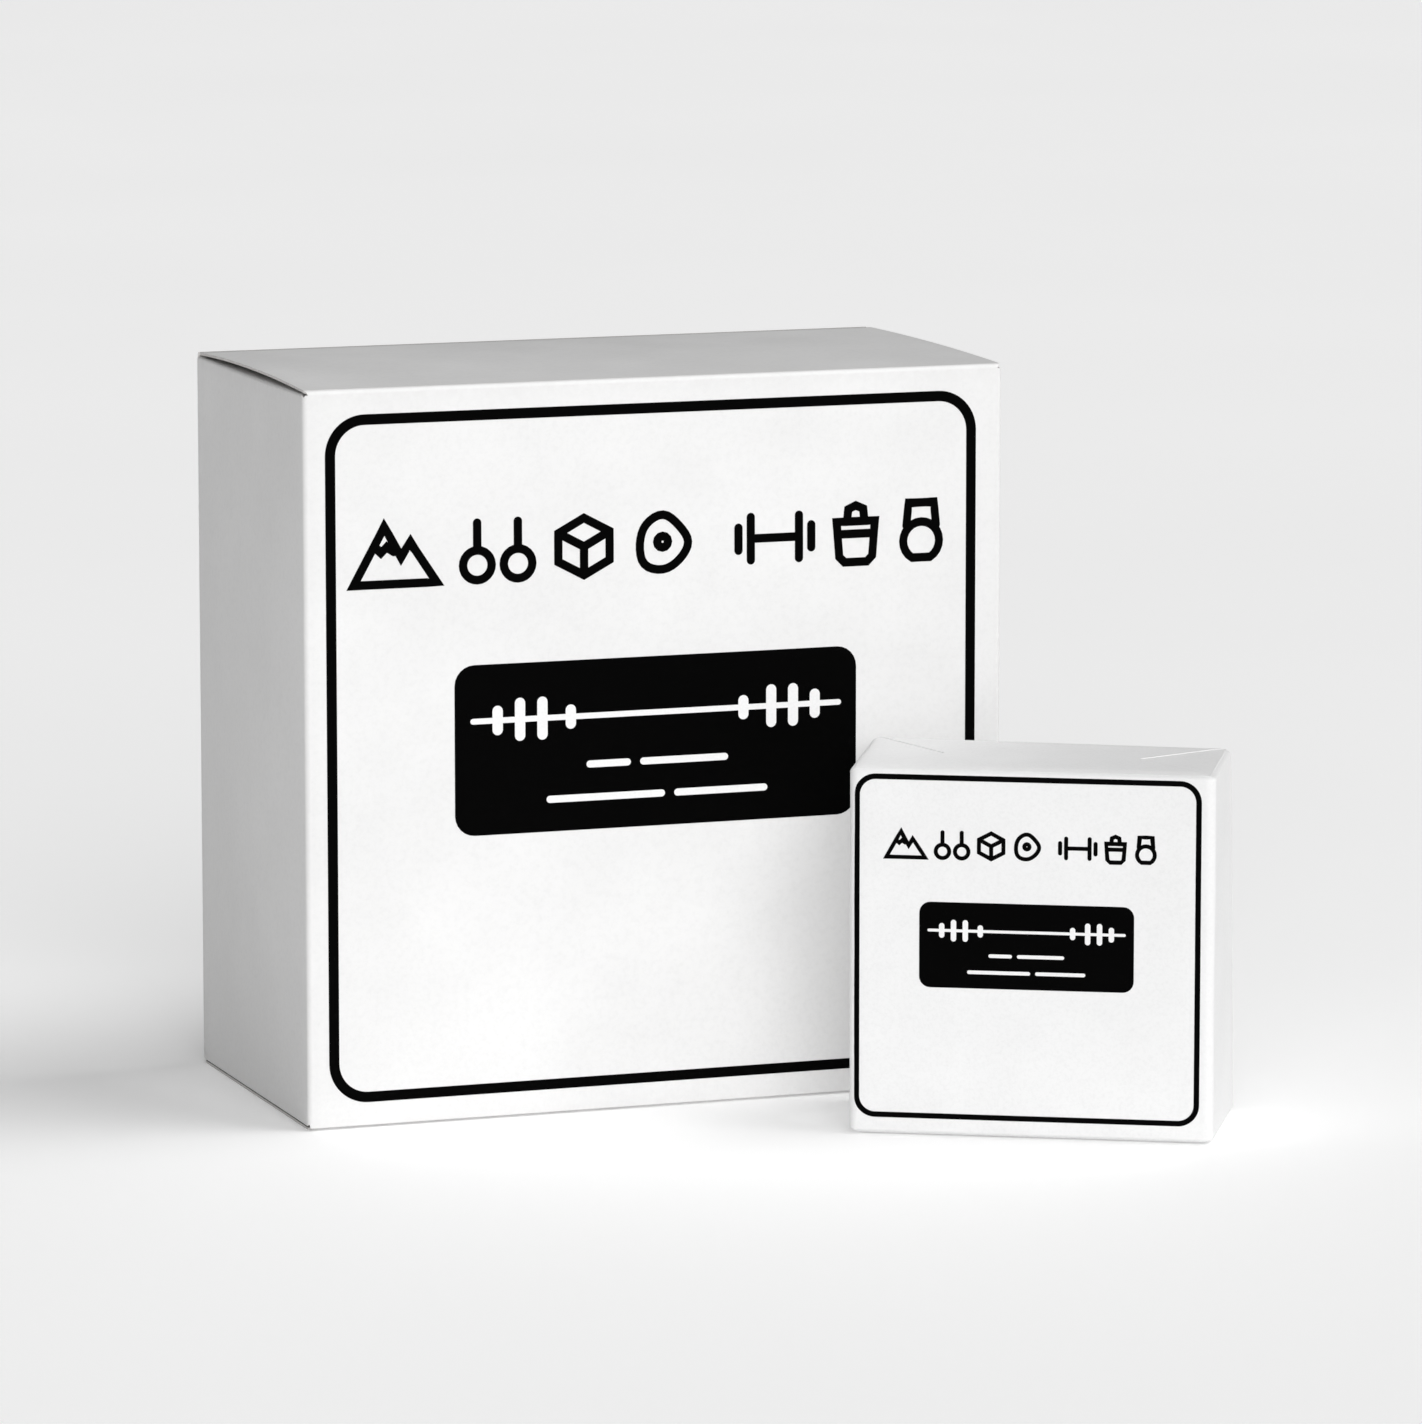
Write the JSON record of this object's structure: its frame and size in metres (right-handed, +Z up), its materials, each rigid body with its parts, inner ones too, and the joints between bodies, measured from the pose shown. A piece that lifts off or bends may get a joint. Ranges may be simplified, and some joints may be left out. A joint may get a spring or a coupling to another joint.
{
  "type": "gymnastics chalk block",
  "caption": "Pressed gym chalk blocks in paper wrappers, packed in a folding tuck-top carton, with one block standing in front of it.",
  "frame": {"origin": "centre of the carton's base, on the surface it stands on", "axes": "+Z up, the carton's printed front faces -Y, +X to the right seen from the front"},
  "size_m": [0.1392, 0.1144, 0.1144],
  "materials": {
    "carton_board": "white coated paperboard, printed in black on the front",
    "wrapper_paper": "thin uncoated white paper, printed in black on the front",
    "chalk": "matte powdery pressed chalk"
  },
  "bodies": {
    "carton": {"front_panel": "carton_board", "back_panel": "carton_board", "left_panel": "carton_board", "right_panel": "carton_board", "glue_flap": "carton_board", "wrapper_bottom_front_left": "wrapper_paper", "chalk_bottom_front_left": "chalk", "wrapper_bottom_front_right": "wrapper_paper", "chalk_bottom_front_right": "chalk", "wrapper_bottom_back_left": "wrapper_paper", "chalk_bottom_back_left": "chalk", "wrapper_bottom_back_right": "wrapper_paper", "chalk_bottom_back_right": "chalk", "wrapper_top_front_left": "wrapper_paper", "chalk_top_front_left": "chalk", "wrapper_top_back_left": "wrapper_paper", "chalk_top_back_left": "chalk", "wrapper_top_back_right": "wrapper_paper", "chalk_top_back_right": "chalk"},
    "lid": {"lid_panel": "carton_board"},
    "lid_tuck": {"lid_tuck_flap": "carton_board"},
    "lid_dust_left": {"lid_dust_flap_left": "carton_board"},
    "lid_dust_right": {"lid_dust_flap_right": "carton_board"},
    "base": {"base_panel": "carton_board"},
    "base_tuck": {"base_tuck_flap": "carton_board"},
    "base_dust_left": {"base_dust_flap_left": "carton_board"},
    "base_dust_right": {"base_dust_flap_right": "carton_board"},
    "loose_block": {"wrapper_loose": "wrapper_paper", "chalk_loose": "chalk"}
  },
  "joints": [
    {"name": "lid_hinge", "type": "hinge", "parent": "carton", "child": "lid", "pos_m": [0, -0.0291, 0.1144], "axis": [1, 0, 0], "range_deg": [0, 160]},
    {"name": "lid_tuck_fold", "type": "hinge", "parent": "lid", "child": "lid_tuck", "pos_m": [0, 0.0285, 0.1144], "axis": [1, 0, 0], "range_deg": [0, 24]},
    {"name": "lid_dust_left_fold", "type": "hinge", "parent": "carton", "child": "lid_dust_left", "pos_m": [-0.057, 0, 0.11385], "axis": [0, -1, 0], "range_deg": [0, 80]},
    {"name": "lid_dust_right_fold", "type": "hinge", "parent": "carton", "child": "lid_dust_right", "pos_m": [0.057, 0, 0.11385], "axis": [0, 1, 0], "range_deg": [0, 80]},
    {"name": "base_hinge", "type": "hinge", "parent": "carton", "child": "base", "pos_m": [0, 0.0291, 0], "axis": [1, 0, 0], "range_deg": [0, 150]},
    {"name": "base_tuck_fold", "type": "hinge", "parent": "base", "child": "base_tuck", "pos_m": [0, -0.0285, 0], "axis": [1, 0, 0], "range_deg": [0, 22.5]},
    {"name": "base_dust_left_fold", "type": "hinge", "parent": "carton", "child": "base_dust_left", "pos_m": [-0.057, 0, 0.00055], "axis": [0, 1, 0], "range_deg": [0, 75]},
    {"name": "base_dust_right_fold", "type": "hinge", "parent": "carton", "child": "base_dust_right", "pos_m": [0.057, 0, 0.00055], "axis": [0, -1, 0], "range_deg": [0, 75]},
    {"name": "loose_block_lift", "type": "slide", "parent": "carton", "child": "loose_block", "axis": [0, 0, 1], "range_m": [0, 0.05]}
  ],
  "couplings": [
    {"joint": "lid_tuck_fold", "follows": "lid_hinge", "ratio": 0.15},
    {"joint": "lid_dust_left_fold", "follows": "lid_hinge", "ratio": 0.5},
    {"joint": "lid_dust_right_fold", "follows": "lid_hinge", "ratio": 0.5},
    {"joint": "base_tuck_fold", "follows": "base_hinge", "ratio": 0.15},
    {"joint": "base_dust_left_fold", "follows": "base_hinge", "ratio": 0.5},
    {"joint": "base_dust_right_fold", "follows": "base_hinge", "ratio": 0.5}
  ]
}
